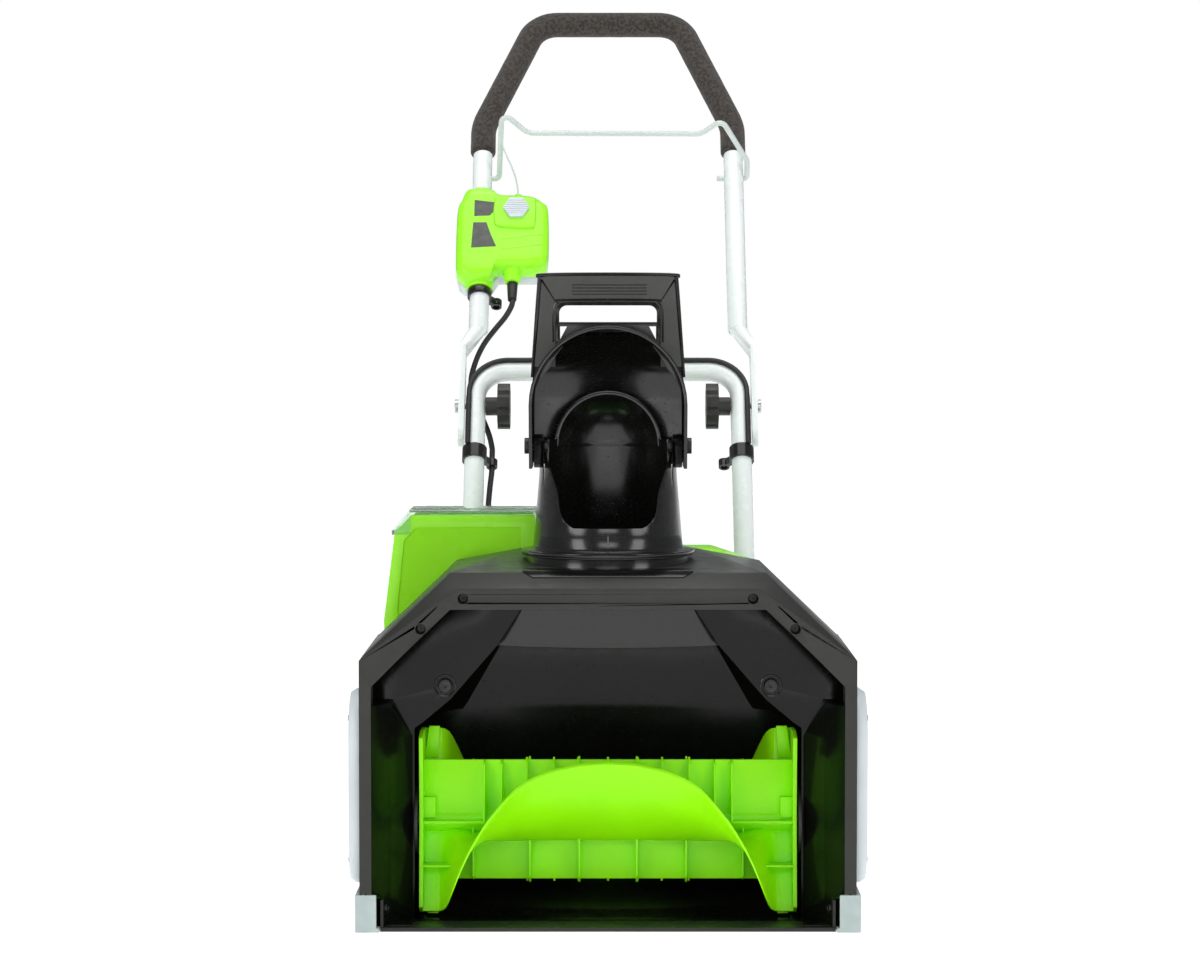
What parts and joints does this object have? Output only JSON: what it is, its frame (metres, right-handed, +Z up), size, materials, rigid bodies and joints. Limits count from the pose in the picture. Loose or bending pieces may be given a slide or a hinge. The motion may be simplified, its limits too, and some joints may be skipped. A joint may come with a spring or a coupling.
{
  "type": "cordless snow shovel",
  "caption": "Cordless walk-behind snow shovel with a green auger, turning chute with tilting hood, wheels, folding tube handle, bail and battery box.",
  "frame": {"origin": "on the ground, at the middle of the whole machine's width and depth", "axes": "+X across the machine, to the right as seen from its front; +Y from the auger back to the operator; +Z up"},
  "size_m": [0.566, 0.927, 1.0795],
  "materials": {
    "black_shell": "fine moulded texture",
    "gloss_black": "glossy moulded plastic",
    "auger_green": "semi-gloss lime moulding",
    "cover_green": "glossy light green moulding",
    "grey_plastic": "pale grey moulding",
    "skid_grey": "pale blue-grey wear part",
    "white_tube": "gloss off-white powder coat",
    "steel": "zinc plated",
    "foam": "closed cell foam",
    "black_rubber": "soft black rubber",
    "tread": "moulded tread",
    "dark_plastic": "dark grey moulding",
    "clear_lid": "clear, slightly green"
  },
  "bodies": {
    "chassis": {"outer_shell": "black_shell", "front_bezel": "black_shell", "auger_chamber": "gloss_black", "bezel_screws": "steel", "shoulder_screws": "steel", "auger_bearings": "black_shell", "scraper_bar": "skid_grey", "scraper_screws": "steel", "skid_left": "skid_grey", "skid_right": "skid_grey", "side_cover_left": "grey_plastic", "side_cover_right": "grey_plastic", "chute_seat": "black_shell", "rear_tub": "black_shell", "deck_plate": "black_shell", "motor_can": "steel", "controller": "dark_plastic", "drive_belt": "black_rubber", "wheel_axle": "steel", "rear_cover": "cover_green", "battery_box": "cover_green", "battery_terminal": "dark_plastic", "lid_pin": "steel", "lower_handle": "white_tube", "leg_brackets": "dark_plastic", "bracket_bolts": "steel", "hoop_strip": "black_rubber", "clip_left": "gloss_black", "clip_right": "gloss_black", "cable_boot": "black_rubber", "power_cable_lower": "black_rubber", "handle_bolts": "steel"},
    "auger_rotor": {"auger": "auger_green", "auger_shaft": "steel", "auger_pulley": "steel"},
    "motor_rotor": {"motor_shaft": "steel", "motor_pulley": "steel"},
    "left_wheel": {"wheel_left": "dark_plastic", "tyre_left": "tread"},
    "right_wheel": {"wheel_right": "dark_plastic", "tyre_right": "tread"},
    "chute_tube": {"chute": "gloss_black", "deflector_bolts": "dark_plastic"},
    "deflector": {"deflector_hood": "gloss_black"},
    "lid": {"battery_lid": "clear_lid"},
    "battery": {"battery_pack": "dark_plastic"},
    "release_button": {"battery_release": "cover_green"},
    "handle_top": {"upper_handle": "white_tube", "foam_grip": "foam", "switch_box_front": "cover_green", "switch_box_back": "grey_plastic", "switch_module": "dark_plastic", "upper_clip": "gloss_black", "cable_gland": "black_rubber", "power_cable_upper": "black_rubber", "bail_cable": "white_tube"},
    "bail_bar": {"bail": "white_tube"},
    "start_switch": {"start_button": "grey_plastic"},
    "left_knob": {"knob_left": "dark_plastic"},
    "right_knob": {"knob_right": "dark_plastic"}
  },
  "joints": [
    {"name": "auger_spin", "type": "hinge", "parent": "chassis", "child": "auger_rotor", "pos_m": [0, -0.36056, 0.11], "axis": [1, 0, 0], "continuous": true},
    {"name": "motor_spin", "type": "hinge", "parent": "chassis", "child": "motor_rotor", "pos_m": [0, -0.16556, 0.185], "axis": [1, 0, 0], "continuous": true},
    {"name": "left_wheel_spin", "type": "hinge", "parent": "chassis", "child": "left_wheel", "pos_m": [-0.21, -0.05556, 0.089], "axis": [1, 0, 0], "continuous": true},
    {"name": "right_wheel_spin", "type": "hinge", "parent": "chassis", "child": "right_wheel", "pos_m": [0.21, -0.05556, 0.089], "axis": [1, 0, 0], "continuous": true},
    {"name": "chute_turn", "type": "hinge", "parent": "chassis", "child": "chute_tube", "pos_m": [0, -0.30556, 0.41], "axis": [0, 0, 1], "range_deg": [-90, 90]},
    {"name": "deflector_tilt", "type": "hinge", "parent": "chute_tube", "child": "deflector", "pos_m": [0, -0.30556, 0.524], "axis": [1, 0, 0], "range_deg": [0, 45]},
    {"name": "lid_hinge", "type": "hinge", "parent": "chassis", "child": "lid", "pos_m": [-0.158, -0.11356, 0.438], "axis": [-1, 0, 0], "range_deg": [0, 100]},
    {"name": "battery_lift", "type": "slide", "parent": "chassis", "child": "battery", "axis": [0, 0, 1], "range_m": [0, 0.015]},
    {"name": "release_press", "type": "slide", "parent": "battery", "child": "release_button", "axis": [0, 0, -1], "range_m": [0, 0.003], "stiffness_N_per_m": 900},
    {"name": "handle_fold", "type": "hinge", "parent": "chassis", "child": "handle_top", "pos_m": [0, 0.09345, 0.558], "axis": [-1, 0, 0], "range_deg": [0, 90], "deforming": ["power_cable_upper"]},
    {"name": "bail_squeeze", "type": "hinge", "parent": "handle_top", "child": "bail_bar", "pos_m": [0, 0.29792, 0.85003], "axis": [-1, 0, 0], "range_deg": [0, 36], "stiffness_Nm_per_rad": 0.6, "deforming": ["bail_cable"]},
    {"name": "start_press", "type": "slide", "parent": "handle_top", "child": "start_switch", "axis": [0, 0.8192, -0.5736], "range_m": [0, 0.004], "stiffness_N_per_m": 700},
    {"name": "left_knob_turn", "type": "hinge", "parent": "chassis", "child": "left_knob", "pos_m": [-0.14, 0.09345, 0.558], "axis": [1, 0, 0], "continuous": true},
    {"name": "right_knob_turn", "type": "hinge", "parent": "chassis", "child": "right_knob", "pos_m": [0.14, 0.09345, 0.558], "axis": [1, 0, 0], "continuous": true}
  ],
  "couplings": [
    {"joint": "motor_spin", "follows": "auger_spin", "ratio": 4}
  ]
}
